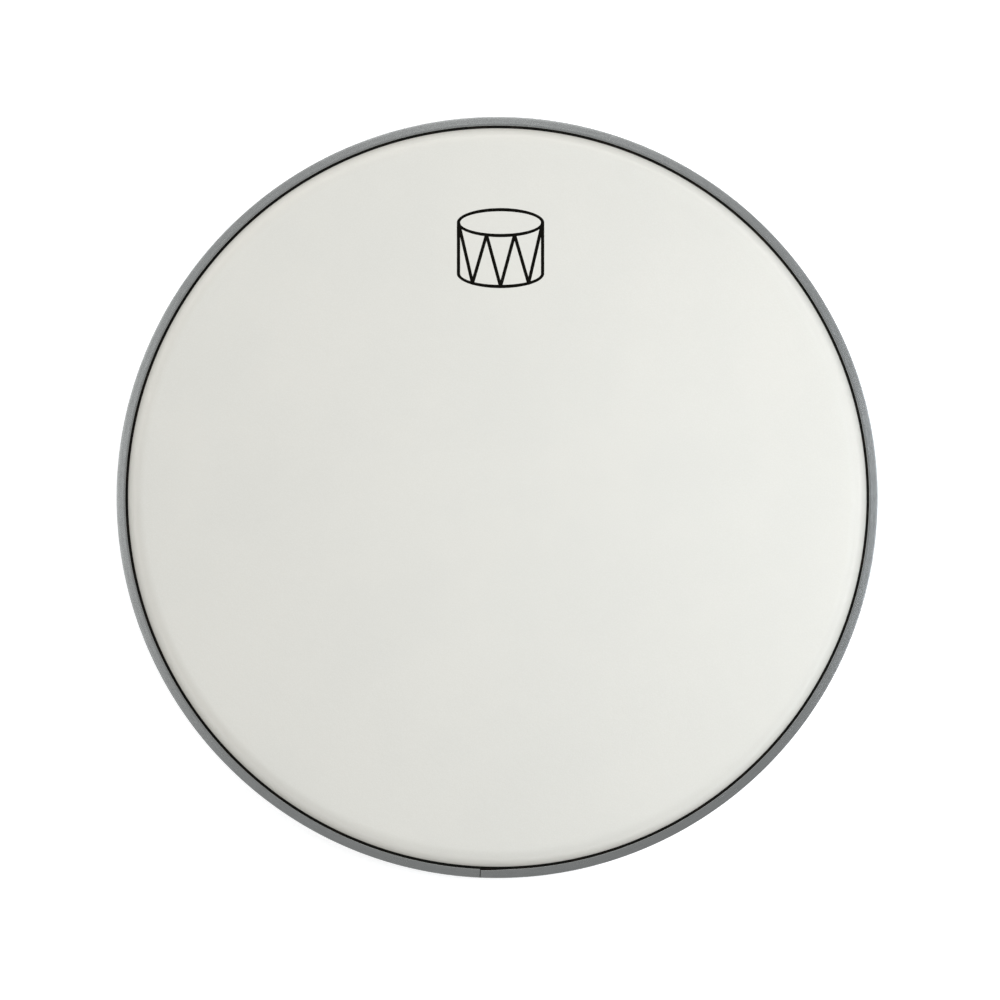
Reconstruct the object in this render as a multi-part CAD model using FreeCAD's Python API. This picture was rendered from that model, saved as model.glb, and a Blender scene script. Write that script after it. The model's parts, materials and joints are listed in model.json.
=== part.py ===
"""Coated drum head for an eight-inch shell, made of six pieces.

A thin polyester film is heat-formed into a flat playing area with a sloping collar round it. Below the
collar the film has a vertical skirt with a ring of punched holes and a small outward foot. The skirt
stands in a rolled aluminium channel, the flesh hoop, and cured resin fills the channel, runs through the
holes and locks the film in. The channel is a bent strip whose two ends meet at a butt joint, and a short
curved plate behind its outer wall keeps them in line. A white coating covers the film's upper side, and a
small drum pictogram is printed on the coating.

The head lies flat with the playing side up. +Z is the head's axis, Z = 0 is the underside of the hoop, and
+Y points from the centre to the printed mark. Every length is in millimetres and every angle in degrees.
"""

import FreeCAD, Part
import math
import os

from FreeCAD import Vector

# The drum shell that the head goes over
SHELL_DIAMETER = 203.2
SHELL_CLEARANCE = 0.35  # radial room between the shell and the hoop's inner wall

# Flesh hoop: one strip of sheet bent to a channel and rolled into a ring
HOOP_WIDTH = 3.65  # radial, over both walls
HOOP_HEIGHT = 9.5
HOOP_SHEET = 0.6
HOOP_WALL_STEP = 2.3  # the inner wall stops this far below the top
HOOP_FOOT_BEND = 0.3  # inside radius of the two lower corners
HOOP_LIP_CORNER = 0.4  # outside radius of the upper corner, coined until its inside is sharp
JOINT_GAP = 0.2
JOINT_ANGLE = 267.4  # anticlockwise from +X, seen from above

# Plate behind the butt joint
PLATE_LENGTH = 16.0
PLATE_THICKNESS = 0.5
PLATE_END_ROOM = 1.15  # between the plate's edges and the channel's bottom and lip
PLATE_FOOT_ROOM = 0.2  # resin between the plate and the foot of the skirt

# Film
FILM_THICKNESS = 0.25
FILM_GLUE_GAP = 0.15  # resin between the hoop's inner wall and the film's skirt
FILM_LIP_GAP = 0.15  # resin between the film's skirt and the edge of the lip
CROWN_HEIGHT = 5.9  # playing surface above the hoop's lip, coating left out
COLLAR_WIDTH = 3.8  # from the skirt in to the corner of slope and playing area
COLLAR_FOOT_ABOVE_WALL = 0.7  # corner of slope and skirt above the hoop's inner wall
COLLAR_UPPER_BEND = 3.5  # radii on the film's underside
COLLAR_LOWER_BEND = 1.0
SKIRT_LIFT = 0.9  # resin under the skirt's foot
FOOT_BEND = 0.6
ANCHOR_HOLE_DIAMETER = 2.4
ANCHOR_HOLE_PITCH = 7.0  # wanted along the skirt, rounded to whole holes

# Coating and printed mark
COATING_THICKNESS = 0.08
COATING_STOP = 0.15  # bare film above the resin
INK_THICKNESS = 0.03
MARK_INSET = 30.4  # centre of the mark from the corner of playing area and slope
MARK_SHIFT = 0.9  # centre of the mark towards +X
MARK_WIDTH = 24.0
MARK_HEIGHT = 22.0
MARK_HEAD_DEPTH = 8.0  # how deep the pictogram's upper ellipse is
MARK_LINE = 0.9
MARK_CORDS = 3  # V-shaped cords across the pictogram's side

# Worked out from the values above
HOOP_INNER_RADIUS = SHELL_DIAMETER / 2 + SHELL_CLEARANCE
HOOP_OUTER_RADIUS = HOOP_INNER_RADIUS + HOOP_WIDTH
HOOP_WALL_TOP = HOOP_HEIGHT - HOOP_WALL_STEP
LIP_UNDERSIDE = HOOP_HEIGHT - HOOP_SHEET
SKIRT_RADIUS = HOOP_INNER_RADIUS + HOOP_SHEET + FILM_GLUE_GAP
LIP_EDGE_RADIUS = SKIRT_RADIUS + FILM_THICKNESS + FILM_LIP_GAP
FOOT_RADIUS = HOOP_OUTER_RADIUS - HOOP_SHEET - PLATE_THICKNESS - PLATE_FOOT_ROOM
FILM_UNDERSIDE = HOOP_HEIGHT + CROWN_HEIGHT - FILM_THICKNESS
COLLAR_CORNER_RADIUS = SKIRT_RADIUS - COLLAR_WIDTH
COLLAR_FOOT_HEIGHT = HOOP_WALL_TOP + COLLAR_FOOT_ABOVE_WALL
SKIRT_FOOT_HEIGHT = HOOP_SHEET + SKIRT_LIFT
COATING_TOP = FILM_UNDERSIDE + FILM_THICKNESS + COATING_THICKNESS
MARK_CENTRE = (MARK_SHIFT, COLLAR_CORNER_RADIUS - MARK_INSET)

# The film's underside as corner points (radius, height) from the centre out, with the radius of each bend
FILM_CORNERS = [
    (0.0, FILM_UNDERSIDE),
    (COLLAR_CORNER_RADIUS, FILM_UNDERSIDE),
    (SKIRT_RADIUS, COLLAR_FOOT_HEIGHT),
    (SKIRT_RADIUS, SKIRT_FOOT_HEIGHT),
    (FOOT_RADIUS, SKIRT_FOOT_HEIGHT),
]
FILM_BENDS = [COLLAR_UPPER_BEND, COLLAR_LOWER_BEND, FOOT_BEND]

# Outside radii of the channel's corners, from the inner wall's foot round to the lip
HOOP_BENDS = [HOOP_FOOT_BEND + HOOP_SHEET, HOOP_FOOT_BEND + HOOP_SHEET, HOOP_LIP_CORNER]

AXIS = Vector(0, 0, 1)
CENTRE = Vector(0, 0, 0)


def shifted_corners(corners, offset):
    """The corners of a bent line moved sideways by offset, to the left of its own direction."""
    lines = []
    for (r0, z0), (r1, z1) in zip(corners, corners[1:]):
        length = math.hypot(r1 - r0, z1 - z0)
        along = ((r1 - r0) / length, (z1 - z0) / length)
        start = (r0 - along[1] * offset, z0 + along[0] * offset)
        end = (r1 - along[1] * offset, z1 + along[0] * offset)
        lines.append((start, end, along))
    moved = [lines[0][0]]
    for (a, _, along_a), (b, _, along_b) in zip(lines, lines[1:]):
        cross = along_a[0] * along_b[1] - along_a[1] * along_b[0]
        share = ((b[0] - a[0]) * along_b[1] - (b[1] - a[1]) * along_b[0]) / cross
        moved.append((a[0] + along_a[0] * share, a[1] + along_a[1] * share))
    moved.append(lines[-1][1])
    return moved


def section_point(point):
    """A point (radius, height) of a section, in the XZ plane."""
    return Vector(point[0], 0, point[1])


def bent_line(corners, bends, offset):
    """Edges of a line with rounded corners, moved sideways by offset.

    A left turn tightens to the left, and stays sharp where nothing is left of its radius.
    """
    points = [section_point(p) for p in shifted_corners(corners, offset)]
    edges = []
    start = points[0]
    for before, corner, after, bend in zip(points, points[1:], points[2:], bends):
        into = (corner - before).normalize()
        out = (after - corner).normalize()
        turns_left = into.x * out.z - into.z * out.x > 0
        radius = max(bend - offset, 0.0) if turns_left else bend + offset
        if radius == 0.0:
            edges.append(Part.LineSegment(start, corner).toShape())
            start = corner
            continue
        half_turn = into.getAngle(out) / 2
        reach = radius * math.tan(half_turn)
        arc_start = corner - into * reach
        arc_end = corner + out * reach
        inward = (out - into).normalize()
        middle = corner + inward * (radius / math.cos(half_turn) - radius)
        edges.append(Part.LineSegment(start, arc_start).toShape())
        edges.append(Part.Arc(arc_start, middle, arc_end).toShape())
        start = arc_end
    edges.append(Part.LineSegment(start, points[-1]).toShape())
    return edges


def end_cap(start, end, outward):
    """Edge that closes a strip's end: a half circle bulging along outward, or a straight cut if that is None."""
    if outward is None:
        return Part.LineSegment(start, end).toShape()
    bulge = (start + end) * 0.5 + outward * (start.distanceToPoint(end) / 2)
    return Part.Arc(start, bulge, end).toShape()


def bent_strip(corners, bends, low, high, rounded=False):
    """Section of a strip whose two faces lie low and high to the left of a bent line."""
    near = bent_line(corners, bends, low)
    far = bent_line(corners, bends, high)
    near_start = near[0].Vertexes[0].Point
    far_start = far[0].Vertexes[0].Point
    near_end = near[-1].Vertexes[-1].Point
    far_end = far[-1].Vertexes[-1].Point
    back = (section_point(corners[0]) - section_point(corners[1])).normalize() if rounded else None
    ahead = (section_point(corners[-1]) - section_point(corners[-2])).normalize() if rounded else None
    edges = [*near, end_cap(near_end, far_end, ahead), *far, end_cap(near_start, far_start, back)]
    return Part.Face(Part.Wire(Part.sortEdges(edges)[0]))


def straight_section(points):
    """Section with straight sides through the points (radius, height)."""
    corners = [section_point(p) for p in points]
    return Part.Face(Part.makePolygon([*corners, corners[0]]))


def turned(section):
    """A section swept once round the axis."""
    return section.revolve(CENTRE, AXIS, 360)


def hoop_corners():
    """Outside of the channel: down the inner wall, across the bottom, up the outer wall and in along the lip."""
    edge = HOOP_SHEET / 2  # both edges of the strip are rounded
    return [
        (HOOP_INNER_RADIUS, HOOP_WALL_TOP - edge),
        (HOOP_INNER_RADIUS, 0.0),
        (HOOP_OUTER_RADIUS, 0.0),
        (HOOP_OUTER_RADIUS, HOOP_HEIGHT),
        (LIP_EDGE_RADIUS + edge, HOOP_HEIGHT),
    ]


def joint_slot():
    """Thin upright block that parts the ring at the butt joint."""
    slot = Part.makeBox(
        HOOP_WIDTH * 3,
        JOINT_GAP,
        HOOP_HEIGHT * 2,
        Vector(HOOP_INNER_RADIUS - HOOP_WIDTH, -JOINT_GAP / 2, -HOOP_HEIGHT / 2),
    )
    slot.rotate(CENTRE, AXIS, JOINT_ANGLE)
    return slot


def joint_plate():
    """Curved plate against the inside of the outer wall, across the butt joint."""
    outer = HOOP_OUTER_RADIUS - HOOP_SHEET
    low = HOOP_SHEET + PLATE_END_ROOM
    high = LIP_UNDERSIDE - PLATE_END_ROOM
    inner = outer - PLATE_THICKNESS
    section = straight_section([(inner, low), (outer, low), (outer, high), (inner, high)])
    span = math.degrees(PLATE_LENGTH / outer)
    plate = section.revolve(CENTRE, AXIS, span)
    plate.rotate(CENTRE, AXIS, JOINT_ANGLE - span / 2)
    return plate


def anchor_punches():
    """Radial pins through the skirt, where the holes are punched."""
    count = round(2 * math.pi * SKIRT_RADIUS / ANCHOR_HOLE_PITCH)
    height = (SKIRT_FOOT_HEIGHT + COLLAR_FOOT_HEIGHT) / 2
    pins = []
    for i in range(count):
        pin = Part.makeCylinder(
            ANCHOR_HOLE_DIAMETER / 2,
            FILM_THICKNESS * 3,
            Vector(SKIRT_RADIUS - FILM_THICKNESS, 0, height),
            Vector(1, 0, 0),
        )
        pin.rotate(CENTRE, AXIS, 360 * (i + 0.5) / count)
        pins.append(pin)
    return Part.makeCompound(pins)


def height_on_slope(height, corners):
    """Point at a height on the collar's slope, between the second and third corner."""
    (r0, z0), (r1, z1) = corners[1], corners[2]
    return (r0 + (r1 - r0) * (height - z0) / (z1 - z0), height)


def resin_bed(channel_ring, film_blank, punches, plate):
    """Everything in the channel that the film and the plate leave free, with a plug through each hole."""
    inner = HOOP_INNER_RADIUS + HOOP_SHEET / 2
    outer = HOOP_OUTER_RADIUS - HOOP_SHEET / 2
    wall_top = HOOP_WALL_TOP - HOOP_SHEET / 2
    film_middle = shifted_corners(FILM_CORNERS, FILM_THICKNESS / 2)
    fill = [
        (inner, HOOP_SHEET / 2),
        (outer, HOOP_SHEET / 2),
        (outer, LIP_UNDERSIDE),
        height_on_slope(LIP_UNDERSIDE, film_middle),
        film_middle[2],
        (film_middle[2][0], wall_top),
        (inner, wall_top),
    ]
    bed = turned(straight_section(fill)).cut(channel_ring).cut(film_blank)
    plugs = film_blank.common(punches)
    return bed.fuse(plugs).removeSplitter().cut(plate)


def coating():
    """White coat over the playing area and down the collar, ending just above the resin."""
    stop = height_on_slope(LIP_UNDERSIDE + COATING_STOP, FILM_CORNERS)
    corners = [FILM_CORNERS[0], FILM_CORNERS[1], stop]
    return turned(
        bent_strip(corners, [COLLAR_UPPER_BEND], FILM_THICKNESS, FILM_THICKNESS + COATING_THICKNESS)
    )


def mark_bar(start, end):
    """Flat printed line with round ends between two points (x, y)."""
    a = Vector(*start, COATING_TOP)
    b = Vector(*end, COATING_TOP)
    side = AXIS.cross((b - a).normalize()) * (MARK_LINE / 2)
    outline = Part.makePolygon([a + side, a - side, b - side, b + side, a + side])
    bar = Part.Face(outline).extrude(AXIS * INK_THICKNESS)
    for end_point in (a, b):
        bar = bar.fuse(Part.makeCylinder(MARK_LINE / 2, INK_THICKNESS, end_point))
    return bar


def mark_ellipse(centre_y, half_width, half_depth):
    """Printed ellipse of one line's width round its middle line."""
    rings = []
    for grow in (MARK_LINE / 2, -MARK_LINE / 2):
        curve = Part.Ellipse(Vector(0, centre_y, COATING_TOP), half_width + grow, half_depth + grow)
        rings.append(Part.Face(Part.Wire(curve.toShape())).extrude(AXIS * INK_THICKNESS))
    return rings[0].cut(rings[1])


def printed_mark():
    """Small drum pictogram: an upper ellipse, two sides, the lower rim and V-shaped cords between the rims."""
    half_width = (MARK_WIDTH - MARK_LINE) / 2
    half_depth = (MARK_HEAD_DEPTH - MARK_LINE) / 2
    upper = (MARK_HEIGHT - MARK_LINE) / 2 - half_depth
    lower = -upper

    def on_rim(x, centre_y):
        return (x, centre_y - half_depth * math.sqrt(max(0.0, 1 - (x / half_width) ** 2)))

    below = Part.makeBox(
        MARK_WIDTH * 2, MARK_HEIGHT, INK_THICKNESS, Vector(-MARK_WIDTH, lower - MARK_HEIGHT, COATING_TOP)
    )
    pieces = [mark_ellipse(upper, half_width, half_depth)]
    pieces.append(mark_ellipse(lower, half_width, half_depth).common(below))
    for side in (-half_width, half_width):
        pieces.append(mark_bar((side, upper), (side, lower)))
    step = half_width / MARK_CORDS
    for i in range(2 * MARK_CORDS):
        ends = [upper, lower] if i % 2 == 0 else [lower, upper]
        x = -half_width + i * step
        pieces.append(mark_bar(on_rim(x, ends[0]), on_rim(x + step, ends[1])))
    mark = pieces[0].multiFuse(pieces[1:]).removeSplitter()
    mark.translate(Vector(*MARK_CENTRE, 0))
    return mark


def write_part(name, shape):
    """Check a piece and write it to its own STEP file."""
    if not shape.isValid() or not shape.Solids:
        raise ValueError(f"{name} is not a valid solid")
    solid = shape.Solids[0] if len(shape.Solids) == 1 else Part.makeCompound(shape.Solids)
    solid.exportStep(os.path.join("parts", f"{name}.step"))
    print(f"{name}: {len(shape.Solids)} solid, {shape.Volume:.1f} mm3")


def main():
    """Build every piece and write it."""
    os.makedirs("parts", exist_ok=True)
    channel_ring = turned(bent_strip(hoop_corners(), HOOP_BENDS, 0, HOOP_SHEET, rounded=True))
    film_blank = turned(bent_strip(FILM_CORNERS, FILM_BENDS, 0, FILM_THICKNESS))
    punches = anchor_punches()
    plate = joint_plate()
    write_part("hoop_channel", channel_ring.cut(joint_slot()))
    write_part("joint_plate", plate)
    write_part("resin_bed", resin_bed(channel_ring, film_blank, punches, plate))
    write_part("drum_film", film_blank.cut(punches))
    write_part("white_coating", coating())
    write_part("printed_mark", printed_mark())


main()
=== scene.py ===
"""Looks of a coated drum head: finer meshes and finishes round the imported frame, a studio and a camera.

The frame gives the sizes: the hoop's radii and height come from its mounts, and the film's and the resin's
heights from their boxes. Lengths are in metres, written as millimetres times MM. A section is drawn in the
half-plane of radius and height, and carried round the Z axis. The playing side is up and the printed mark
lies towards +Y.
"""

import json
import logging
import math
from collections.abc import Callable, Sequence
from dataclasses import dataclass
from enum import Enum
from typing import Any

import bmesh
import bpy
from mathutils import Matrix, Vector


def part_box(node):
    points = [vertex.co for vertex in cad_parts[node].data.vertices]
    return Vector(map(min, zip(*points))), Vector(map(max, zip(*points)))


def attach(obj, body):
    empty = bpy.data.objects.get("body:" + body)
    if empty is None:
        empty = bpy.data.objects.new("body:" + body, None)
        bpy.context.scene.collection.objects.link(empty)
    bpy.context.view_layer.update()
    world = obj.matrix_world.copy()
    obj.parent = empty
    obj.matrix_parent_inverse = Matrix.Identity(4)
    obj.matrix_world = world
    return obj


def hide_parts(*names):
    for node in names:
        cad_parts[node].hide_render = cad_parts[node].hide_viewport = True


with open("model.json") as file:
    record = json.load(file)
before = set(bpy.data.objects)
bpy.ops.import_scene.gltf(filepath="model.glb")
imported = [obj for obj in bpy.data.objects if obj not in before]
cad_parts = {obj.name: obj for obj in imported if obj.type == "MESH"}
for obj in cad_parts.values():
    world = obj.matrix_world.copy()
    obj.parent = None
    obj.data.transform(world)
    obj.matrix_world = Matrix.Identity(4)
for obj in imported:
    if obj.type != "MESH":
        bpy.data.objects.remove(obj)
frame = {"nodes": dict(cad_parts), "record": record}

LOG = logging.getLogger("drum_head")
MM = 0.001
BODY = "root"
FULL_TURN = 2 * math.pi
ARC_STEP = math.radians(8)  # Largest turn between two stations of a bend
EDGE_CUTS = 4  # Pairs added for each rounded edge of a sheet
WELD = 0.2e-6  # Distance under which a piece's points are one
MARK_WELD = 0.5e-6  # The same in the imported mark
SHARP = math.radians(40)  # Angle between two faces above which their edge stays sharp
SHARP_COAT = math.radians(60)  # The same on the coat

Point = tuple[float, float]
Pair = tuple[Point, Point]


class Slot(Enum):
    """The record's material slots."""

    SATIN_ALUMINIUM = "satin_aluminium"
    MILL_ALUMINIUM = "mill_aluminium"
    DARK_RESIN = "dark_resin"
    CLEAR_FILM = "clear_film"
    WHITE_COAT = "white_coat"
    BLACK_INK = "black_ink"


# ---------------------------------------------------------------------------------------------------------
# Sections and meshes


@dataclass(frozen=True)
class Station:
    """A place on a bent line.

    Attributes:
        r: Radius of the place.
        z: Height of the place.
        nr: Radial part of the normal to the left of the line.
        nz: Upward part of that normal.
    """

    r: float
    z: float
    nr: float
    nz: float

    def off(self, distance: float, ahead: float = 0.0) -> Point:
        """The point at a distance along the normal, and ahead along the line."""
        return self.r + self.nr * distance + self.nz * ahead, self.z + self.nz * distance - self.nr * ahead


@dataclass(frozen=True)
class BentLine:
    """One face of a formed sheet: straight runs joined by bends.

    Attributes:
        corners: Corner points (radius, height) from the start of the line.
        bends: Radius at each inner corner, or 0 for one that only marks a place on a straight run.
        cuts: Number of equal lengths in each straight run.
    """

    corners: tuple[Point, ...]
    bends: tuple[float, ...]
    cuts: tuple[int, ...]

    def stations(self) -> list[Station]:
        """Places along the line, evenly spaced on each run and each bend.

        Returns:
            The stations from the first corner to the last.
        """
        found: list[Station] = []
        start = Vector(self.corners[0])
        for i, cuts in enumerate(self.cuts):
            corner = Vector(self.corners[i + 1])
            into = (corner - Vector(self.corners[i])).normalized()
            side = Vector((-into.y, into.x))
            bend = self.bends[i] if i < len(self.bends) else 0.0
            out = (Vector(self.corners[i + 2]) - corner).normalized() if bend else into
            turn = math.atan2(into.x * out.y - into.y * out.x, into.dot(out))
            reach = bend * math.tan(abs(turn) / 2)
            end = corner - into * reach
            for k in range(cuts):
                place = start.lerp(end, k / cuts)
                found.append(Station(place.x, place.y, side.x, side.y))
            found += self._arc(end, side, bend, turn)
            start = corner + out * reach
        found.append(Station(start.x, start.y, side.x, side.y))
        return found

    @staticmethod
    def _arc(start: Vector, side: Vector, bend: float, turn: float) -> list[Station]:
        """Stations on one bend, without its last point.

        Args:
            start: Where the bend begins.
            side: Normal to the left of the line at that point.
            bend: Radius.
            turn: Angle turned, positive to the left.

        Returns:
            The stations, or none where the line runs straight on.
        """
        hand = math.copysign(1.0, turn)
        centre = start + side * bend * hand
        steps = math.ceil(abs(turn) / ARC_STEP)
        found = []
        for k in range(steps):
            angle = turn * k / steps
            nr = side.x * math.cos(angle) - side.y * math.sin(angle)
            nz = side.x * math.sin(angle) + side.y * math.cos(angle)
            found.append(Station(centre.x - nr * bend * hand, centre.y - nz * bend * hand, nr, nz))
        return found


def sheet_section(stations: Sequence[Station], thickness: float, rounding: float) -> list[Pair]:
    """Section of a sheet whose two edges are rounded, as pairs of points across its thickness.

    Args:
        stations: Places on the sheet's right-hand face.
        thickness: Thickness of the sheet, to the left.
        rounding: Radius at the edges, added ahead of the first and the last station.

    Returns:
        Pairs of points, right-hand face first, from edge to edge.
    """
    turns = [math.pi / 2 * (k + 1) / EDGE_CUTS for k in range(EDGE_CUTS)]

    def rounded(station: Station, sense: float, turn: float) -> Pair:
        """The pair at one step of a rounded edge."""
        ahead, drop = sense * rounding * math.sin(turn), rounding * (1 - math.cos(turn))
        return station.off(drop, ahead), station.off(thickness - drop, ahead)

    start = [rounded(stations[0], -1.0, turn) for turn in reversed(turns)]
    middle = [(s.off(0.0), s.off(thickness)) for s in stations]
    end = [rounded(stations[-1], 1.0, turn) for turn in turns]
    return start + middle + end


class RoundMesh:
    """Collects the points and faces of a piece that is built about the Z axis."""

    def __init__(self, lift: Callable[[float, float], float] | None = None) -> None:
        """Starts an empty mesh.

        Args:
            lift: Height added to a point, from its X and Y.
        """
        self.points: list[tuple[float, float, float]] = []
        self.faces: list[tuple[int, ...]] = []
        self.lift = lift

    def point(self, place: Point, angle: float) -> int:
        """Adds one point.

        Args:
            place: Radius and height.
            angle: Angle about the Z axis.

        Returns:
            The point's number.
        """
        x, y = place[0] * math.cos(angle), place[0] * math.sin(angle)
        rise = self.lift(x, y) if self.lift else 0.0
        self.points.append((x, y, place[1] + rise))
        return len(self.points) - 1

    def ring(self, place: Point, count: int) -> list[int]:
        """Adds a full ring of points, or a single point on the axis where count is 1."""
        return [self.point(place, FULL_TURN * k / count) for k in range(count)]

    def join(self, first: Sequence[int], second: Sequence[int]) -> None:
        """Fills the band between two rings.

        Args:
            first: Ring with as many points as the second, half as many, or one.
            second: The other ring.
        """
        count = len(second)
        share = count // len(first)
        for k in range(count):
            here, there = second[k], second[(k + 1) % count]
            if len(first) == 1:
                self.faces.append((first[0], here, there))
            elif share == 1:
                self.faces.append((first[k], here, there, first[(k + 1) % count]))
            elif k % 2 == 0:
                self.faces.append((first[k // 2], here, there))
            else:
                after = first[(k // 2 + 1) % len(first)]
                self.faces.append((first[k // 2], here, there, after))

    def loop_between(self, first: Sequence[int], second: Sequence[int]) -> None:
        """Joins two closed loops with the same number of points by four-sided faces."""
        count = len(first)
        for k in range(count):
            after = (k + 1) % count
            self.faces.append((first[k], second[k], second[after], first[after]))

    def piece(self, name: str, sharp: float = SHARP) -> bpy.types.Object:
        """Makes the object, with its faces turned outwards and its shading smooth.

        Args:
            name: Name of the piece.
            sharp: Angle between two faces above which their edge stays sharp.

        Returns:
            The new object, riding on the frame's body.
        """
        mesh = bpy.data.meshes.new(name)
        mesh.from_pydata(self.points, [], self.faces)
        return finished_piece(name, mesh, sharp)


def finished_piece(name: str, mesh: bpy.types.Mesh, sharp: float) -> bpy.types.Object:
    """Turns a mesh's faces outwards, smooths its shading and puts it in the scene.

    Args:
        name: Name of the piece.
        mesh: The closed mesh.
        sharp: Angle between two faces above which their edge stays sharp.

    Returns:
        The new object, riding on the frame's body.
    """
    work = bmesh.new()
    work.from_mesh(mesh)
    bmesh.ops.remove_doubles(work, verts=work.verts, dist=WELD)
    bmesh.ops.recalc_face_normals(work, faces=work.faces)
    work.to_mesh(mesh)
    work.free()
    mesh.shade_smooth()
    mesh.set_sharp_from_angle(angle=sharp)
    made = bpy.data.objects.new(name, mesh)
    bpy.context.scene.collection.objects.link(made)
    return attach(made, BODY)


def swept_section(
    mesh: RoundMesh, angles: Sequence[float], section: Callable[[float], list[Pair]], closed: bool
) -> None:
    """Carries a section of pairs round the axis.

    Args:
        mesh: Where the faces go.
        angles: Angles of the sections, in order.
        section: Gives the pairs at an angle.
        closed: Whether the last section meets the first. If not, both ends are capped.
    """
    loops = []
    for angle in angles:
        pairs = section(angle)
        outline = [p[0] for p in pairs] + [p[1] for p in reversed(pairs)]
        loops.append([mesh.point(place, angle) for place in outline])
    for before, after in zip(loops, loops[1:]):
        mesh.loop_between(before, after)
    if closed:
        mesh.loop_between(loops[-1], loops[0])
        return
    for loop in (loops[0], loops[-1]):
        for k in range(len(loop) // 2 - 1):
            mesh.faces.append((loop[k], loop[k + 1], loop[-2 - k], loop[-1 - k]))


# ---------------------------------------------------------------------------------------------------------
# Nodes


class Signal:
    """A value in a material's nodes. Arithmetic on it adds Math nodes."""

    def __init__(self, book: "NodeBook", socket: bpy.types.NodeSocket) -> None:
        """Wraps an output socket of a book's node."""
        self.book = book
        self.socket = socket

    def math(self, operation: str, first: "Signal | float", second: "Signal | float" = 0.0) -> "Signal":
        """Adds one Math node."""
        return self.book.add("ShaderNodeMath", {"operation": operation}, {0: first, 1: second})

    def __add__(self, other: "Signal | float") -> "Signal":
        """self + other."""
        return self.math("ADD", self, other)

    __radd__ = __add__

    def __sub__(self, other: "Signal | float") -> "Signal":
        """self - other."""
        return self.math("SUBTRACT", self, other)

    def __rsub__(self, other: "Signal | float") -> "Signal":
        """other - self."""
        return self.math("SUBTRACT", other, self)

    def __mul__(self, other: "Signal | float") -> "Signal":
        """self * other."""
        return self.math("MULTIPLY", self, other)

    __rmul__ = __mul__

    def __truediv__(self, other: "Signal | float") -> "Signal":
        """self / other."""
        return self.math("DIVIDE", self, other)

    def __rtruediv__(self, other: "Signal | float") -> "Signal":
        """other / self."""
        return self.math("DIVIDE", other, self)

    def __pow__(self, other: "Signal | float") -> "Signal":
        """self to the power of other."""
        return self.math("POWER", self, other)

    def between(self, low: float, high: float) -> "Signal":
        """0 at low and below, 1 at high and above, and smooth between them."""
        values = {"Value": self, "From Min": low, "From Max": high}
        return self.book.add("ShaderNodeMapRange", {"interpolation_type": "SMOOTHSTEP"}, values)


Value = Signal | float | tuple[float, ...]
Colour = tuple[float, float, float, float]


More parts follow.
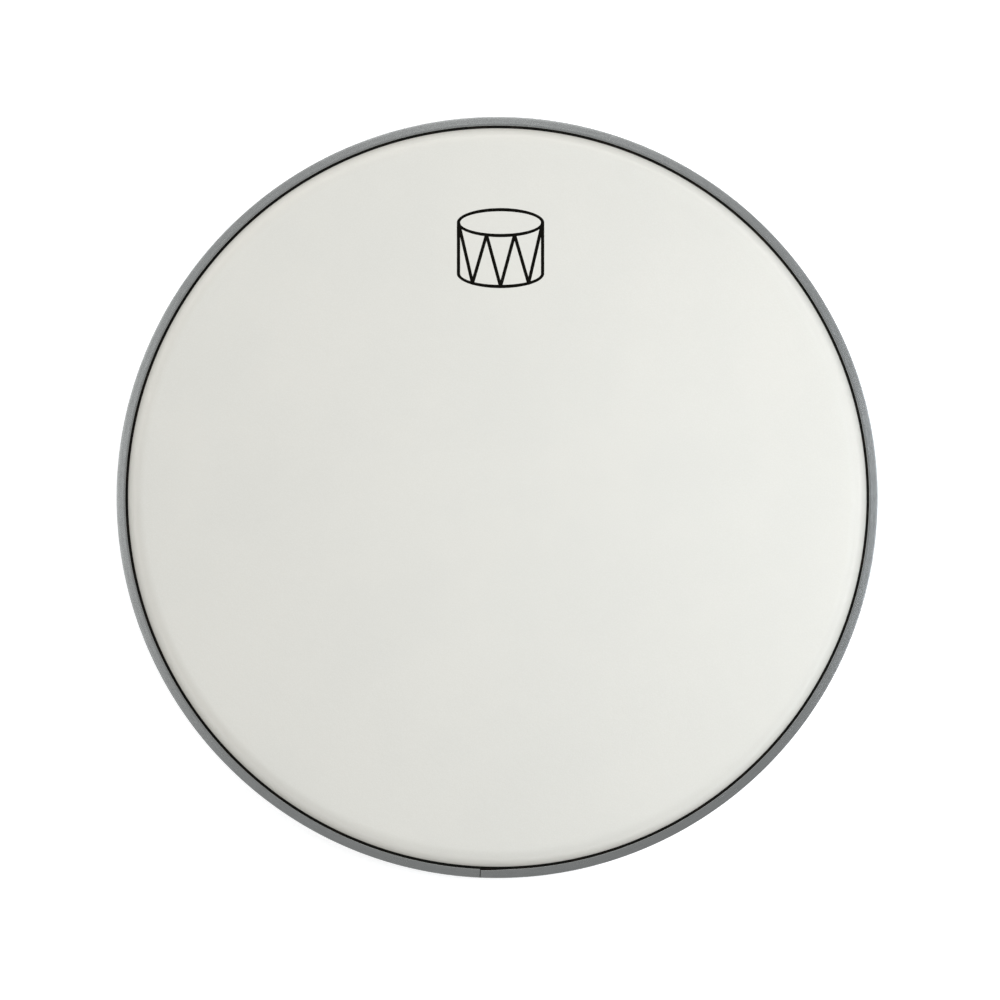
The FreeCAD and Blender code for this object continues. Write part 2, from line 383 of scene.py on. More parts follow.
class NodeBook:
    """The node tree of one material."""

    def __init__(self, name: str) -> None:
        """Starts a material with an empty tree."""
        self.material = bpy.data.materials.new(name)
        self.material.use_nodes = True
        self.tree = self.material.node_tree
        self.tree.nodes.clear()

    def add(
        self, kind: str, settings: dict[str, object], inputs: dict[str | int, Value], output: str | int = 0
    ) -> Signal:
        """Adds a node.

        Args:
            kind: Type of the node.
            settings: Properties to set first.
            inputs: Values or links of its sockets, by name or number.
            output: The output socket to return.

        Returns:
            The output as a signal.
        """
        node = self.tree.nodes.new(kind)
        for key, value in settings.items():
            setattr(node, key, value)
        for key, value in inputs.items():
            if isinstance(value, Signal):
                self.tree.links.new(value.socket, node.inputs[key])
            else:
                node.inputs[key].default_value = value
        return Signal(self, node.outputs[output])

    def own_place(self) -> Signal:
        """The point's place in the head's frame, in metres."""
        return self.add("ShaderNodeTexCoord", {}, {}, "Object")

    def parts(self, vector: Signal) -> tuple[Signal, Signal, Signal]:
        """X, Y and Z of a vector."""
        first = self.add("ShaderNodeSeparateXYZ", {}, {0: vector})
        return tuple(Signal(self, socket) for socket in first.socket.node.outputs)

    def vector(self, x: Value, y: Value, z: Value) -> Signal:
        """A vector from its X, Y and Z."""
        return self.add("ShaderNodeCombineXYZ", {}, {0: x, 1: y, 2: z})

    def noise(self, place: Signal, size: float, detail: float = 2.0, roughness: float = 0.5) -> Signal:
        """Cloudy pattern from 0 to 1.

        Args:
            place: Where to read it.
            size: Size of its largest shapes, in the units of place.
            detail: Number of finer layers.
            roughness: Strength of the finer layers.

        Returns:
            The pattern's value.
        """
        values = {"Vector": place, "Scale": 1 / size, "Detail": detail, "Roughness": roughness}
        return self.add("ShaderNodeTexNoise", {}, values)

    def specks(self, place: Signal, pitch: float, radius: float, share: float) -> Signal:
        """Sparse round specks.

        Args:
            place: Where to read them.
            pitch: Mean distance between the places where a speck may be.
            radius: Radius of a speck.
            share: Share of the places that have a speck.

        Returns:
            1 inside a speck and 0 outside.
        """
        cells = self.add("ShaderNodeTexVoronoi", {}, {"Vector": place, "Scale": 1 / pitch}, "Distance")
        draw = Signal(self, cells.socket.node.outputs["Color"])
        chosen = self.parts(draw)[0].between(1 - share, 1 - share + 0.001)
        return (1 - cells.between(0.5 * radius / pitch, radius / pitch)) * chosen

    def mixed(self, mask: Value, first: Value, second: Value) -> Signal:
        """The first colour where the mask is 0 and the second where it is 1."""
        inputs = {"Factor": mask, 6: first, 7: second}
        return self.add("ShaderNodeMix", {"data_type": "RGBA"}, inputs, 2)

    def relief(self, height: Signal, depth: float, under: Signal | None = None) -> Signal:
        """Bump of a height pattern.

        Args:
            height: Pattern from 0 to 1.
            depth: Depth between 0 and 1, in metres.
            under: Normal of a relief below this one.

        Returns:
            The normal.
        """
        inputs: dict[str | int, Value] = {"Height": height, "Distance": depth, "Strength": 1.0}
        if under:
            inputs["Normal"] = under
        return self.add("ShaderNodeBump", {}, inputs)

    def surface(self, **inputs: Value) -> bpy.types.Material:
        """Ends the material in a Principled shader.

        Args:
            **inputs: Values or links of its sockets, with an underscore for each space in a name.

        Returns:
            The finished material.
        """
        named = {key.replace("_", " "): value for key, value in inputs.items()}
        shader = self.add("ShaderNodeBsdfPrincipled", {}, named)
        output = self.tree.nodes.new("ShaderNodeOutputMaterial")
        self.tree.links.new(shader.socket, output.inputs["Surface"])
        return self.material


# ---------------------------------------------------------------------------------------------------------
# Finishes


@dataclass(frozen=True)
class SprayedCoat:
    """Matt white coat, sprayed on: a fine grain, soft clouds of thickness and a few specks of dust.

    Attributes:
        colour: Colour where the coat is thick.
        thin_colour: Colour where the film shows through a little.
        grain_colour: Colour of the grain's tips.
        speck_colour: Colour of the dust.
        roughness: Mean roughness.
        grain_size: Size of the sprayed grain.
        grain_depth: Depth of the grain.
        cloud_size: Size of the clouds.
        speck_pitch: Distance between the places where a speck may be.
        speck_radius: Radius of a speck.
        speck_share: Share of those places that have one.
    """

    colour: Colour = (0.806, 0.79, 0.724, 1.0)
    thin_colour: Colour = (0.771, 0.76, 0.700, 1.0)
    grain_colour: Colour = (1.0, 1.0, 0.98, 1.0)
    speck_colour: Colour = (0.42, 0.41, 0.37, 1.0)
    roughness: float = 0.52
    grain_size: float = 0.38 * MM
    grain_depth: float = 0.022 * MM
    cloud_size: float = 26.0 * MM
    speck_pitch: float = 21.0 * MM
    speck_radius: float = 0.75 * MM
    speck_share: float = 0.16

    def make(self) -> bpy.types.Material:
        """Builds the material."""
        book = NodeBook("sprayed white coat")
        place = book.own_place()
        grain = book.noise(place, self.grain_size, 3.0, 0.6)
        orange_peel = book.noise(place, self.grain_size * 9, 2.0)
        clouds = book.noise(place, self.cloud_size, 4.0, 0.55).between(0.3, 0.7)
        dust = book.specks(place, self.speck_pitch, self.speck_radius, self.speck_share)
        tone = book.mixed(0.55 * clouds, self.colour, self.thin_colour)
        grained = book.mixed(0.10 * grain.between(0.35, 0.75), tone, self.grain_colour)
        body = book.mixed(0.28 * dust, grained, self.speck_colour)
        peel = book.relief(orange_peel, self.grain_depth * 2.2)
        return book.surface(
            Base_Color=body,
            Roughness=self.roughness + 0.10 * (grain - 0.5) + 0.05 * (clouds - 0.5),
            IOR=1.48,
            Normal=book.relief(grain, self.grain_depth, peel),
        )


@dataclass(frozen=True)
class FormedFilm:
    """Smooth polyester film, milky because the white coat lies on its far side.

    Attributes:
        coat_foot: Height below which the film has no coat behind it.
        colour: Colour through the film.
        haze_colour: Colour of its hazy patches.
        edge_colour: Colour of the bare film near the collar's foot.
        fade: Height over which it changes.
        roughness: Roughness of the rolled surface.
    """

    coat_foot: float
    colour: Colour = (0.70, 0.705, 0.68, 1.0)
    haze_colour: Colour = (0.66, 0.67, 0.655, 1.0)
    edge_colour: Colour = (0.22, 0.225, 0.215, 1.0)
    fade: float = 0.25 * MM
    roughness: float = 0.17

    def make(self) -> bpy.types.Material:
        """Builds the material."""
        book = NodeBook("formed polyester film")
        place = book.own_place()
        height = book.parts(place)[2]
        bare = 1 - height.between(self.coat_foot - self.fade, self.coat_foot)
        haze = book.noise(place, 34 * MM, 3.0).between(0.35, 0.65)
        scuffs = book.noise(place, 1.6 * MM, 4.0, 0.7).between(0.55, 0.8)
        tone = book.mixed(0.25 * haze, self.colour, self.haze_colour)
        return book.surface(
            Base_Color=book.mixed(bare, tone, self.edge_colour),
            Roughness=self.roughness + 0.06 * haze + 0.12 * scuffs,
            IOR=1.57,
            Normal=book.relief(book.noise(place, 9 * MM, 2.0), 0.03 * MM),
        )


@dataclass(frozen=True)
class RolledAluminium:
    """Satin aluminium strip with fine lines along the rolling direction, dull patches and small nicks.

    Attributes:
        name: Name of the material.
        colour: Colour of the clean metal.
        dull_colour: Colour of the dull patches.
        nick_colour: Colour of the nicks.
        roughness: Mean roughness.
        line_size: Width of the finest rolling lines.
        line_depth: Depth of the lines.
        line_turn: Length that a radian round the hoop counts for, which draws the lines out.
        patch_size: Size of the dull patches.
        nick_pitch: Distance between the places where a nick may be.
        nick_radius: Radius of a nick.
        nick_share: Share of those places that have one.
    """

    name: str = "rolled satin aluminium"
    colour: Colour = (0.53, 0.548, 0.545, 1.0)
    dull_colour: Colour = (0.435, 0.45, 0.447, 1.0)
    nick_colour: Colour = (0.25, 0.25, 0.25, 1.0)
    roughness: float = 0.25
    line_size: float = 0.11 * MM
    line_depth: float = 0.004 * MM
    line_turn: float = 6.0 * MM
    patch_size: float = 7.0 * MM
    nick_pitch: float = 3.1 * MM
    nick_radius: float = 0.16 * MM
    nick_share: float = 0.14

    def make(self) -> bpy.types.Material:
        """Builds the material."""
        book = NodeBook(self.name)
        place = book.own_place()
        x, y, z = book.parts(place)
        radius = (x * x + y * y) ** 0.5
        along = book.add("ShaderNodeMath", {"operation": "ARCTAN2"}, {0: y, 1: x}) * self.line_turn
        lines = book.noise(book.vector(radius, along, z), self.line_size, 2.0, 0.65)
        drawn = book.noise(book.vector(radius, along * 3.0, z), self.line_size * 5, 3.0, 0.6)
        patches = book.noise(place, self.patch_size, 4.0, 0.6).between(0.42, 0.72)
        nicks = book.specks(place, self.nick_pitch, self.nick_radius, self.nick_share)
        tone = book.mixed(0.35 * patches, self.colour, self.dull_colour)
        streaked = book.mixed(0.35 * drawn.between(0.4, 0.7), tone, self.dull_colour)
        body = book.mixed(0.5 * nicks, streaked, self.nick_colour)
        return book.surface(
            Base_Color=body,
            Metallic=1.0,
            Roughness=self.roughness + 0.10 * (lines - 0.5) + 0.03 * (patches - 0.5) + 0.1 * nicks,
            Normal=book.relief(lines, self.line_depth, book.relief(drawn, self.line_depth * 1.5)),
        )


@dataclass(frozen=True)
class CuredResin:
    """Dark cured resin with a slightly wavy skin and small bubbles.

    Attributes:
        colour: Colour of the resin.
        thin_colour: Browner colour where it is thin.
        roughness: Roughness of the skin.
        flow_size: Size of its waves.
        flow_depth: Depth of its waves.
        bubble_pitch: Distance between the places where a bubble may be.
        bubble_radius: Radius of a bubble.
        bubble_share: Share of those places that have one.
    """

    colour: Colour = (0.003, 0.003, 0.002, 1.0)
    thin_colour: Colour = (0.014, 0.010, 0.007, 1.0)
    roughness: float = 0.42
    flow_size: float = 5.0 * MM
    flow_depth: float = 0.12 * MM
    bubble_pitch: float = 1.7 * MM
    bubble_radius: float = 0.17 * MM
    bubble_share: float = 0.2

    def make(self) -> bpy.types.Material:
        """Builds the material."""
        book = NodeBook("cured dark resin")
        place = book.own_place()
        flow = book.noise(place, self.flow_size, 3.0, 0.6)
        bubbles = book.specks(place, self.bubble_pitch, self.bubble_radius, self.bubble_share)
        return book.surface(
            Base_Color=book.mixed(flow.between(0.45, 0.75), self.colour, self.thin_colour),
            Roughness=self.roughness + 0.22 * flow.between(0.3, 0.8),
            IOR=1.5,
            Specular_IOR_Level=0.12,
            Normal=book.relief(flow - 0.5 * bubbles, self.flow_depth),
        )


@dataclass(frozen=True)
class ScreenInk:
    """Black screen-printed ink that follows the grain of the coat under it.

    Attributes:
        colour: Colour of a full layer.
        thin_colour: Colour where the layer is thin over the grain.
        roughness: Mean roughness.
        grain_size: Size of the coat's grain.
        grain_depth: Depth of the grain under the ink.
    """

    colour: Colour = (0.003, 0.0026, 0.0012, 1.0)
    thin_colour: Colour = (0.009, 0.008, 0.005, 1.0)
    roughness: float = 0.5
    grain_size: float = 0.38 * MM
    grain_depth: float = 0.014 * MM

    def make(self) -> bpy.types.Material:
        """Builds the material."""
        book = NodeBook("black screen ink")
        place = book.own_place()
        grain = book.noise(place, self.grain_size, 3.0, 0.6)
        return book.surface(
            Base_Color=book.mixed(grain.between(0.55, 0.8), self.colour, self.thin_colour),
            Roughness=self.roughness + 0.15 * (grain - 0.5),
            Specular_IOR_Level=0.06,
            Normal=book.relief(grain, self.grain_depth),
        )


@dataclass(frozen=True)
class StudioPaper:
    """Pale matt paper on which the head lies.

    Attributes:
        colour: Colour of the paper.
        shade: Slightly darker colour of its fibres.
        glow: Strength of the light that comes through it from below.
    """

    colour: Colour = (0.93, 0.93, 0.93, 1.0)
    shade: Colour = (0.91, 0.91, 0.91, 1.0)
    glow: float = 0.58

    def make(self) -> bpy.types.Material:
        """Builds the material."""
        book = NodeBook("pale studio paper")
        fibres = book.noise(book.own_place(), 1.2 * MM, 3.0)
        tone = book.mixed(fibres, self.colour, self.shade)
        return book.surface(
            Base_Color=tone,
            Roughness=0.9 - 0.05 * fibres,
            Specular_IOR_Level=0.2,
            Emission_Color=tone,
            Emission_Strength=self.glow,
        )


def dress(piece: bpy.types.Object, material: bpy.types.Material, slot: Slot) -> None:
    """Gives a piece one material.

    Args:
        piece: The piece, or a node of the frame.
        material: Its finish.
        slot: The record's slot; not used.
    """
    piece.data.materials.clear()
    piece.data.materials.append(material)
    LOG.info("%s: %d faces, %s", piece.name, len(piece.data.polygons), material.name)


# ---------------------------------------------------------------------------------------------------------
# The head's pieces


def mount(name: str) -> dict[str, Any]:
    """A mount of the record."""
    return next(m for m in frame["record"]["mounts"] if m["name"] == name)


def mount_radius(name: str) -> float:
    """Radius of a round mount, in metres."""
    return mount(name)["dims"]["r_mm"] * MM


def mount_height(name: str) -> float:
    """Height of a mount's point, in metres."""
    return mount(name)["pos_m"][2]


@dataclass
class FleshHoop:
    """The rolled channel, its joint, the plate behind the joint and the resin that fills it.

    Attributes:
        sheet: Thickness of the strip.
        wall_step: How far the inner wall stops below the top.
        lip_edge: Radius that the lip reaches in to.
        foot_bend: Outside radius of the two lower corners.
        lip_bend: Outside radius of the upper corner, coined tighter than the sheet.
        edge_rounding: Radius at the strip's long edges.
        joint_angle: Where the strip's ends meet.
        joint_gap: Distance between the ends.
        end_chamfer: Chamfer on the cut ends.
        seam_sink: How far the resin in the joint stays below the strip's faces.
        setback: How far the lip of one end is worn back beside the joint.
        setback_reach: Length of hoop over which the setback fades.
        skin: Depth of the resin's skin in the mouth.
        cling: How far the skin climbs the film and the lip.
        skin_cuts: Faces across the skin.
        sections: Number of sections round the hoop.
    """

    sheet: float = 0.6 * MM
    wall_step: float = 2.3 * MM
    lip_edge: float = 103.1 * MM
    foot_bend: float = 0.9 * MM
    lip_bend: float = 0.2 * MM
    edge_rounding: float = 0.1 * MM
    joint_angle: float = math.radians(267.4)
    joint_gap: float = 0.2 * MM
    end_chamfer: float = 0.03 * MM
    seam_sink: float = 0.05 * MM
    setback: float = 0.30 * MM
    setback_reach: float = 9.0 * MM
    skin: float = 0.01 * MM
    cling: float = 0.14 * MM
    skin_cuts: int = 8
    sections: int = 540

    def __post_init__(self) -> None:
        """Takes the radii and the height from the frame."""
        self.inner = mount_radius("shell_bore")
        self.outer = mount_radius("counterhoop_fit")
        self.height = mount_height("counterhoop_seat")

    def line(self) -> BentLine:
        """Outside of the channel: down the inner wall, across the bottom, up the outer wall and in."""
        edge = self.edge_rounding
        corners = (
            (self.inner, self.height - self.wall_step - edge),
            (self.inner, 0.0),
            (self.outer, 0.0),
            (self.outer, self.height),
            (self.lip_edge + edge, self.height),
        )
        return BentLine(corners, (self.foot_bend, self.foot_bend, self.lip_bend), (6, 3, 8, 4))

    def _worn(self, place: Point, angle: float) -> Point:
        """A point of the section with the lip set back beside the joint.

        Args:
            place: Radius and height of the point.
            angle: Angle of the section.

        Returns:
            The moved point.
        """
        past = (angle - self.joint_angle) * self.outer
        lip_start = self.outer - self.sheet
        on_lip = place[1] > self.height - self.sheet - self.edge_rounding and place[0] < lip_start
        if not on_lip or past > self.setback_reach:
            return place
        share = (lip_start - place[0]) / (lip_start - self.lip_edge)
        fade = 0.5 + 0.5 * math.cos(math.pi * max(past, 0.0) / self.setback_reach)
        return place[0] + self.setback * share * fade, place[1]

    def _strip(self, stations: Sequence[Station], inset: float, angle: float) -> list[Pair]:
        """Section of the strip, with the sharp inside corner that a coined bend leaves.

        Args:
            stations: Places on the channel's outside.
            inset: How far both faces lie inside the strip's own.
            angle: Angle of the section.

        Returns:
            Pairs of points, outside first.
        """
        raised = [Station(*s.off(inset), s.nr, s.nz) for s in stations]
        wall, ceiling = self.outer - self.sheet + inset, self.height - self.sheet + inset
        found = []
        for outside, inside in sheet_section(raised, self.sheet - 2 * inset, self.edge_rounding - inset):
            cornered = (min(inside[0], wall), min(inside[1], ceiling))
            found.append((self._worn(outside, angle), self._worn(cornered, angle)))
        return found

    def build_channel(self) -> bpy.types.Object:
        """The channel with its two cut ends."""
        line = self.line().stations()
        half_gap = self.joint_gap / 2 / self.outer
        chamfer_turn = self.end_chamfer / self.outer
        first, last = self.joint_angle + half_gap, self.joint_angle + FULL_TURN - half_gap
        start, sweep = first + chamfer_turn, last - first - 2 * chamfer_turn
        angles = [first, *(start + sweep * k / self.sections for k in range(self.sections + 1)), last]

        def section(angle: float) -> list[Pair]:
            """The strip's section, a little thinner at the cut ends."""
            return self._strip(line, self.end_chamfer if angle in (first, last) else 0.0, angle)

        mesh = RoundMesh()
        swept_section(mesh, angles, section, closed=False)
        made = mesh.piece("hoop_ring")
        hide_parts("hoop_channel")
        return made

    def build_seam(self) -> bpy.types.Object:
        """The resin that has filled the joint from inside, a little below the strip's faces."""
        line = self.line().stations()
        reach = self.joint_gap / 2 / self.outer
        angles = [self.joint_angle - reach, self.joint_angle + reach]
        mesh = RoundMesh()
        swept_section(mesh, angles, lambda angle: self._strip(line, self.seam_sink, angle), closed=False)
        return mesh.piece("resin_seam")

    def build_meniscus(self, film_wall: Callable[[float], float]) -> bpy.types.Object:
        """The resin's exposed skin in the channel's mouth, drawn up a little at the lip and the film.

        Args:
            film_wall: Radius of the film's outer face at a height.

        Returns:
            The new piece.
        """
        bed_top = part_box("resin_bed")[1].z
        root = bed_top - self.skin
        inner_top, inner_root = film_wall(bed_top + self.skin + self.cling), film_wall(root)

        def section(angle: float) -> list[Pair]:
            """Root and top of the skin, from the film out to the lip's edge and under it."""
            outer_r = self._worn((self.lip_edge, self.height), angle)[0]
            lip_r = self._worn((self.lip_edge + self.sheet / 2, self.height), angle)[0]
            pairs = []
            for k in range(self.skin_cuts + 1):
                share = k / self.skin_cuts
                top = bed_top + self.skin + self.cling * (2 * share - 1) ** 4
                root_r, top_r = (start + (outer_r - start) * share for start in (inner_root, inner_top))
                pairs.append(((root_r, root), (top_r, top)))
            pairs.append(((lip_r, root), (lip_r, bed_top)))
            return pairs

        mesh = RoundMesh()
        angles = [self.joint_angle + FULL_TURN * k / self.sections for k in range(self.sections)]
        swept_section(mesh, angles, section, closed=True)
        return mesh.piece("resin_meniscus")

    def dress(self, channel: bpy.types.Object, *skins: bpy.types.Object) -> None:
        """Gives the hoop, the plate and the resin their finishes.

        Args:
            channel: The channel.
            *skins: The resin's pieces outside the bed.
        """
        resin = CuredResin().make()
        mill = RolledAluminium("mill aluminium", roughness=0.34, line_size=0.2 * MM).make()
        dress(channel, RolledAluminium().make(), Slot.SATIN_ALUMINIUM)
        for piece in (*skins, frame["nodes"]["resin_bed"]):
            dress(piece, resin, Slot.DARK_RESIN)
        dress(frame["nodes"]["joint_plate"], mill, Slot.MILL_ALUMINIUM)


@dataclass
class Membrane:
    """The formed film with its punched skirt, the coat on it and the printed mark.

    Attributes:
        glue_gap: Resin between the hoop's inner wall and the skirt.
        collar_width: From the skirt in to the corner of slope and playing area.
        foot_above_wall: Corner of slope and skirt above the hoop's inner wall.
        upper_bend: Bend between playing area and slope, on the underside.
        lower_bend: Bend between slope and skirt, on the underside.
        foot_bend: Bend between skirt and foot.
        hole_radius: Radius of the punched holes.
        hole_pitch: Wanted distance between them.
        band: Height of the band of the skirt that holds the holes.
        coat_gap: Bare film above the resin.
        ripple: Largest rise of the playing area.
        waves: Length, heading and shift of each wave in the ripple.
        tile_cuts: Points per hole along the skirt.
        thinning: Share of a ring's radius at which the next ring has half as many points.
    """

    hoop: FleshHoop
    glue_gap: float = 0.15 * MM
    collar_width: float = 3.8 * MM
    foot_above_wall: float = 0.7 * MM
    upper_bend: float = 3.5 * MM
    lower_bend: float = 1.0 * MM
    foot_bend: float = 0.6 * MM
    hole_radius: float = 1.2 * MM
    hole_pitch: float = 7.0 * MM
    band: float = 3.8 * MM
    coat_gap: float = 0.15 * MM
    ripple: float = 0.10 * MM
    waves: tuple[tuple[float, float, float], ...] = (
        (171 * MM, 0.5, 0.9),
        (117 * MM, 2.1, 2.2),
        (83 * MM, 3.9, 4.1),
        (64 * MM, 5.2, 0.3),
    )
    tile_cuts: int = 6
    thinning: float = 0.56

    def __post_init__(self) -> None:
        """Takes the film's place from the frame and works out its line."""
        low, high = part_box("drum_film")
        self.underside = mount_height("bearing_edge_face")
        self.film = high.z - self.underside
        self.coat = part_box("white_coating")[1].z - high.z
        self.skirt = self.hoop.inner + self.hoop.sheet + self.glue_gap
        self.corner = self.skirt - self.collar_width
        self.collar_foot = self.hoop.height - self.hoop.wall_step + self.foot_above_wall
        self.skirt_foot = low.z
        self.hole_height = (self.skirt_foot + self.collar_foot) / 2
        self.foot_edge = high.x
        self.holes = round(FULL_TURN * self.skirt / self.hole_pitch)
        self.coat_stop = self.hoop.height - self.hoop.sheet + self.coat_gap

    def line(self) -> BentLine:
        """The film's underside from the centre out, with two marks round the band of holes."""
        corners = (
            (0.0, self.underside),
            (self.corner, self.underside),
            (self.skirt, self.collar_foot),
            (self.skirt, self.hole_height + self.band / 2),
            (self.skirt, self.hole_height - self.band / 2),
            (self.skirt, self.skirt_foot),
            (self.foot_edge, self.skirt_foot),
        )
        bends = (self.upper_bend, self.lower_bend, 0.0, 0.0, self.foot_bend)
        return BentLine(corners, bends, (48, 5, 1, 1, 1, 2))

    def film_wall(self, height: float) -> float:
        """Radius of the film's outer face at a height on the collar's slope."""
        run, drop = self.collar_width, self.underside - self.collar_foot
        along = math.hypot(run, drop)
        return self.corner + run * (self.underside - height) / drop + self.film * along / drop

    def rise(self, x: float, y: float) -> float:
        """Soft ripple of the unstretched film, fading to nothing at the collar."""
        share = min(math.hypot(x, y) / (self.corner - self.upper_bend), 1.0)
        fade = (1 - share**4) ** 2
        total = 0.0
        for length, heading, shift in self.waves:
            along = x * math.cos(heading) + y * math.sin(heading)
            total += math.sin(FULL_TURN * along / length + shift)
        return self.ripple * fade * total / len(self.waves)

    def _ring_count(self, radius: float) -> int:
        """Points in a ring: the full number at the rim, halved as the rings shrink."""
        count = self.holes * self.tile_cuts
        reach = self.skirt
        while radius < reach * self.thinning and count % 2 == 0:
            count //= 2
            reach /= 2
        return count

    def _layer(self, mesh: RoundMesh, stations: Sequence[Station], distance: float) -> list[list[int]]:
        """Rings of one face of the film or the coat.

        Args:
            mesh: Where the points go.
            stations: Places on the film's underside.
            distance: How far the face lies above the underside.

        Returns:
            One ring for each station, a single point at the axis.
        """
        rings = []
        for station in stations:
            count = self._ring_count(station.r) if station.r > 0 else 1
            rings.append(mesh.ring(station.off(distance), count))
        return rings

    def build_film(self) -> bpy.types.Object:
        """The film, with a ring of round holes through its skirt."""
        mesh = RoundMesh(self.rise)
        stations = self.line().stations()
        band = next(
            i for i, (a, b) in enumerate(zip(stations, stations[1:])) if a.z - b.z > 0.99 * self.band
        )
        layers = [self._layer(mesh, stations, distance) for distance in (0.0, self.film)]
        for rings in layers:
            for i, (first, second) in enumerate(zip(rings, rings[1:])):
                if i != band:
                    mesh.join(first, second)
        mesh.join(layers[0][-1], layers[1][-1])
        self._punch(mesh, [(rings[band], rings[band + 1]) for rings in layers])
        made = mesh.piece("head_film")
        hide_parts("drum_film")
        return made

    def _punch(self, mesh: RoundMesh, faces: Sequence[tuple[list[int], list[int]]]) -> None:
        """Fills the band of the skirt round its holes, and the walls of the holes.

        Args:
            mesh: Where the faces go.
            faces: Upper and lower ring of the band, for the inner and the outer face.
        """
        cuts, count = self.tile_cuts, len(faces[0][0])
        radii = (self.skirt, self.skirt + self.film)
        middles = [
            [mesh.point((r, self.hole_height), FULL_TURN * k / self.holes) for k in range(self.holes)]
            for r in radii
        ]
        rim_count = 2 * cuts + 4
        for hole in range(self.holes):
            rims = []
            centre = FULL_TURN * (hole + 0.5) / self.holes
            for (upper, lower), middle, r in zip(faces, middles, radii):
                steps = [(hole * cuts + k) % count for k in range(cuts + 1)]
                border = [middle[(hole + 1) % self.holes]]
                border += [upper[k] for k in reversed(steps)]
                border.append(middle[hole])
                border += [lower[k] for k in steps]
                rim = []
                for k in range(rim_count):
                    turn = FULL_TURN * k / rim_count
                    height = self.hole_height + self.hole_radius * math.sin(turn)
                    aside = self.hole_radius * math.cos(turn) / self.skirt
                    rim.append(mesh.point((r, height), centre + aside))
                mesh.loop_between(border, rim)
                rims.append(rim)
            mesh.loop_between(rims[0], rims[1])

    def build_coat(self) -> bpy.types.Object:
        """The coat on the playing area and down the collar."""
        mesh = RoundMesh(self.rise)
        stations = [s for s in self.line().stations() if s.z > self.coat_stop]
        on_slope = (self.underside - self.coat_stop) / (self.underside - self.collar_foot)
        end_r = self.corner + self.collar_width * on_slope
        stations.append(Station(end_r, self.coat_stop, stations[-1].nr, stations[-1].nz))
        under, over = (self._layer(mesh, stations, d) for d in (self.film, self.film + self.coat))
        for rings in (under, over):
            for first, second in zip(rings, rings[1:]):
                mesh.join(first, second)
        mesh.join(under[-1], over[-1])
        made = mesh.piece("coated_face", SHARP_COAT)
        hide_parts("white_coating")
        return made

    def build_mark(self) -> bpy.types.Object:
        """The printed mark, cut fine enough to follow the film's ripple."""
        longest = 1.5 * MM
        mesh = frame["nodes"]["printed_mark"].data.copy()
        mesh.name = "ink_mark"
        work = bmesh.new()
        work.from_mesh(mesh)
        bmesh.ops.remove_doubles(work, verts=work.verts, dist=MARK_WELD)
        bmesh.ops.dissolve_limit(work, angle_limit=math.radians(1), verts=work.verts, edges=work.edges)
        bmesh.ops.triangulate(work, faces=work.faces)
        while True:
            long_edges = [e for e in work.edges if e.calc_length() > longest]
            if not long_edges:
                break
            bmesh.ops.subdivide_edges(work, edges=long_edges, cuts=1)
            bmesh.ops.triangulate(work, faces=work.faces)
        for vertex in work.verts:
            vertex.co.z += self.rise(vertex.co.x, vertex.co.y)
        work.to_mesh(mesh)
        work.free()
        made = finished_piece("ink_mark", mesh, SHARP)
        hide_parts("printed_mark")
        return made

    def dress(self, film: bpy.types.Object, coat: bpy.types.Object, mark: bpy.types.Object) -> None:
        """Gives the film, the coat and the ink their finishes."""
        dress(film, FormedFilm(self.coat_stop).make(), Slot.CLEAR_FILM)
        dress(coat, SprayedCoat().make(), Slot.WHITE_COAT)
        dress(mark, ScreenInk().make(), Slot.BLACK_INK)


# ---------------------------------------------------------------------------------------------------------
# Studio


@dataclass(frozen=True)
class SoftLight:
    """A square area light aimed at a point.

    Attributes:
        name: Name of the light.
        azimuth: Direction it stands in, anticlockwise from +X, in degrees.
        elevation: Its height above the floor as an angle from the head, in degrees.
        distance: Distance from the head's middle.
        size: Its side.
        power: Power in watts.
        colour: Colour of its light.
        in_gloss: Whether glossy faces mirror it, as they don't when it is cross polarised.
    """

    name: str
    azimuth: float
    elevation: float
    distance: float
    size: float
    power: float
    colour: tuple[float, float, float] = (1.0, 1.0, 1.0)
    in_gloss: bool = True

    def build(self, aim: Vector) -> bpy.types.Object:
        """Adds the light.

        Args:
            aim: Point that it faces.

        Returns:
            The light's object.
        """
        lamp = bpy.data.lights.new(self.name, "AREA")
        lamp.size = self.size
        lamp.energy = self.power
        lamp.color = self.colour
        made = bpy.data.objects.new(self.name, lamp)
        turn, tilt = math.radians(self.azimuth), math.radians(self.elevation)
        away = Vector((math.cos(turn) * math.cos(tilt), math.sin(turn) * math.cos(tilt), math.sin(tilt)))
        made.location = aim + away * self.distance
        made.rotation_euler = (-away).to_track_quat("-Z", "Y").to_euler()
        made.visible_glossy = self.in_gloss
        bpy.context.scene.collection.objects.link(made)
        return made


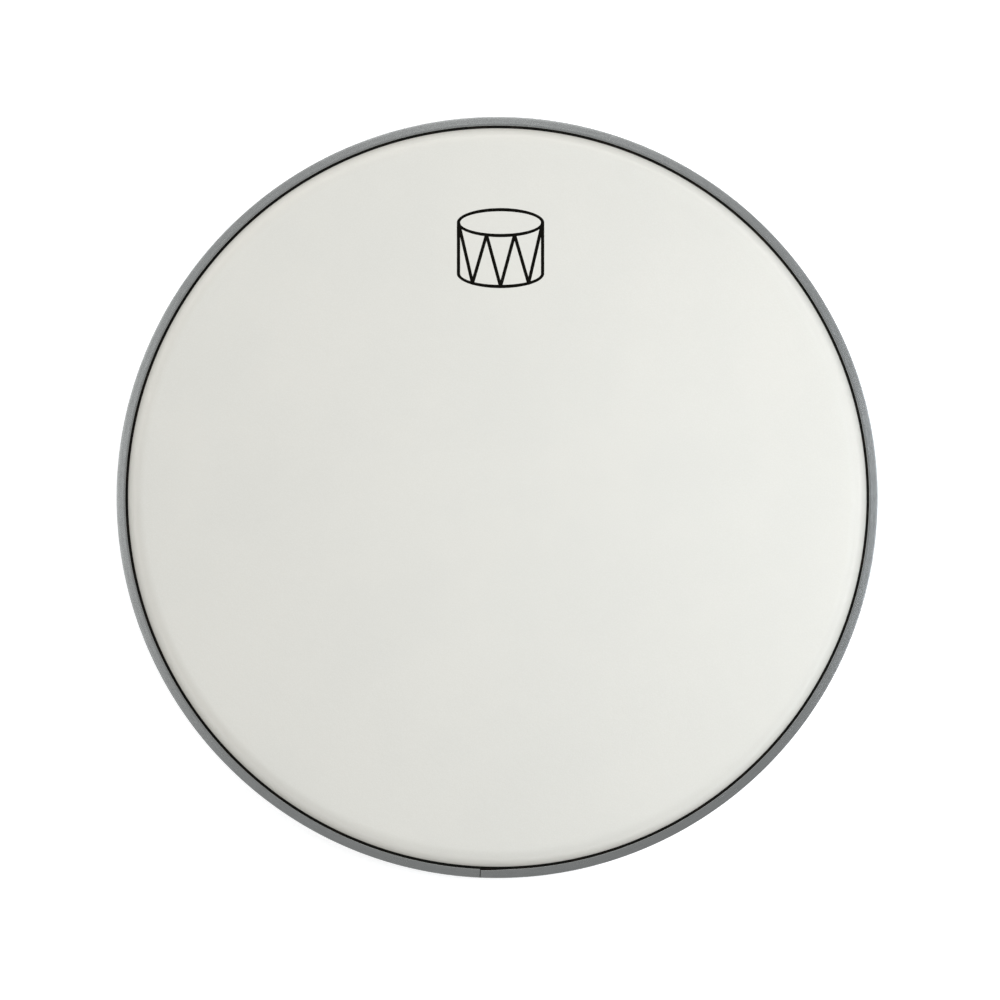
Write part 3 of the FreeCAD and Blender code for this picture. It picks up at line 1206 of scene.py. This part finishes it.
@dataclass(frozen=True)
class Studio:
    """Pale floor, soft lights and the camera above the head.

    Attributes:
        floor_size: Side of the floor.
        sky: Brightness of the room.
        lights: The soft lights.
        lens: Focal length in millimetres, for a sensor of sensor millimetres.
        sensor: Width of the camera's sensor.
        field: Width that the camera sees at the hoop's top.
        aim_x: How far right of the axis the camera looks.
        aim_y: How far above the axis it looks.
    """

    floor_size: float = 12.0
    sky: float = 0.318
    lights: tuple[SoftLight, ...] = (
        SoftLight("near right", -1.0, 45.0, 0.42, 0.2, 0.45, (0.95, 1.0, 1.065)),
        SoftLight("high right", 1.0, 62.0, 0.42, 0.2, 0.37, (0.95, 1.0, 1.065), in_gloss=False),
        SoftLight("upper right", 38.0, 56.0, 1.0, 0.4, 0.30),
        SoftLight("high left", 178.0, 59.0, 1.0, 0.5, 0.72),
        SoftLight("back", 90.0, 56.0, 1.0, 0.5, 1.1),
        SoftLight("low back", 98.0, 18.0, 1.0, 0.5, 0.87),
        SoftLight("middle left", 148.0, 34.0, 1.0, 0.5, 1.6),
        SoftLight("low front", 270.0, 22.0, 1.0, 0.5, 1.12),
    )
    lens: float = 85.0
    sensor: float = 36.0
    field: float = 277.2 * MM
    aim_x: float = 0.75 * MM
    aim_y: float = -0.69 * MM

    def build(self, height: float) -> None:
        """Adds the floor, the room, the lights and the camera.

        Args:
            height: Height of the hoop's top above the floor.
        """
        self._build_floor()
        world = bpy.data.worlds.new("pale room")
        world.use_nodes = True
        sky_colour = (self.sky, self.sky, self.sky, 1.0)
        world.node_tree.nodes["Background"].inputs["Color"].default_value = sky_colour
        bpy.context.scene.world = world
        for light in self.lights:
            light.build(Vector((0.0, 0.0, height)))
        bpy.context.scene.view_settings.view_transform = "Standard"
        self._build_camera(height)

    def _build_floor(self) -> None:
        """The floor, in four parts so that its middle corner lies under the head."""
        half = self.floor_size / 2
        steps = (-half, -1.0, 1.0, half)
        points = [(x, y, 0.0) for y in steps for x in steps]
        faces = [(i, i + 1, i + 5, i + 4) for i in range(11) if i % 4 != 3]
        mesh = bpy.data.meshes.new("paper_floor")
        mesh.from_pydata(points, [], faces)
        floor = bpy.data.objects.new("paper_floor", mesh)
        bpy.context.scene.collection.objects.link(floor)
        floor.data.materials.append(StudioPaper().make())

    def _build_camera(self, height: float) -> None:
        """The camera, looking straight down on the playing side with +Y up.

        Args:
            height: Height at which its field has the stated width.
        """
        lens = bpy.data.cameras.new("camera")
        lens.lens, lens.sensor_width = self.lens, self.sensor
        camera = bpy.data.objects.new("camera", lens)
        distance = self.field / 2 / (self.sensor / 2 / self.lens)
        camera.location = (self.aim_x, self.aim_y, height + distance)
        bpy.context.scene.collection.objects.link(camera)
        bpy.context.scene.camera = camera


def main() -> None:
    """Builds the head's pieces, then the studio."""
    logging.basicConfig(level=logging.INFO, format="%(name)s: %(message)s")
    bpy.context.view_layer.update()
    hoop = FleshHoop()
    membrane = Membrane(hoop)
    hoop.dress(hoop.build_channel(), hoop.build_meniscus(membrane.film_wall), hoop.build_seam())
    membrane.dress(membrane.build_film(), membrane.build_coat(), membrane.build_mark())
    Studio().build(hoop.height)


if __name__ == "__main__":
    main()
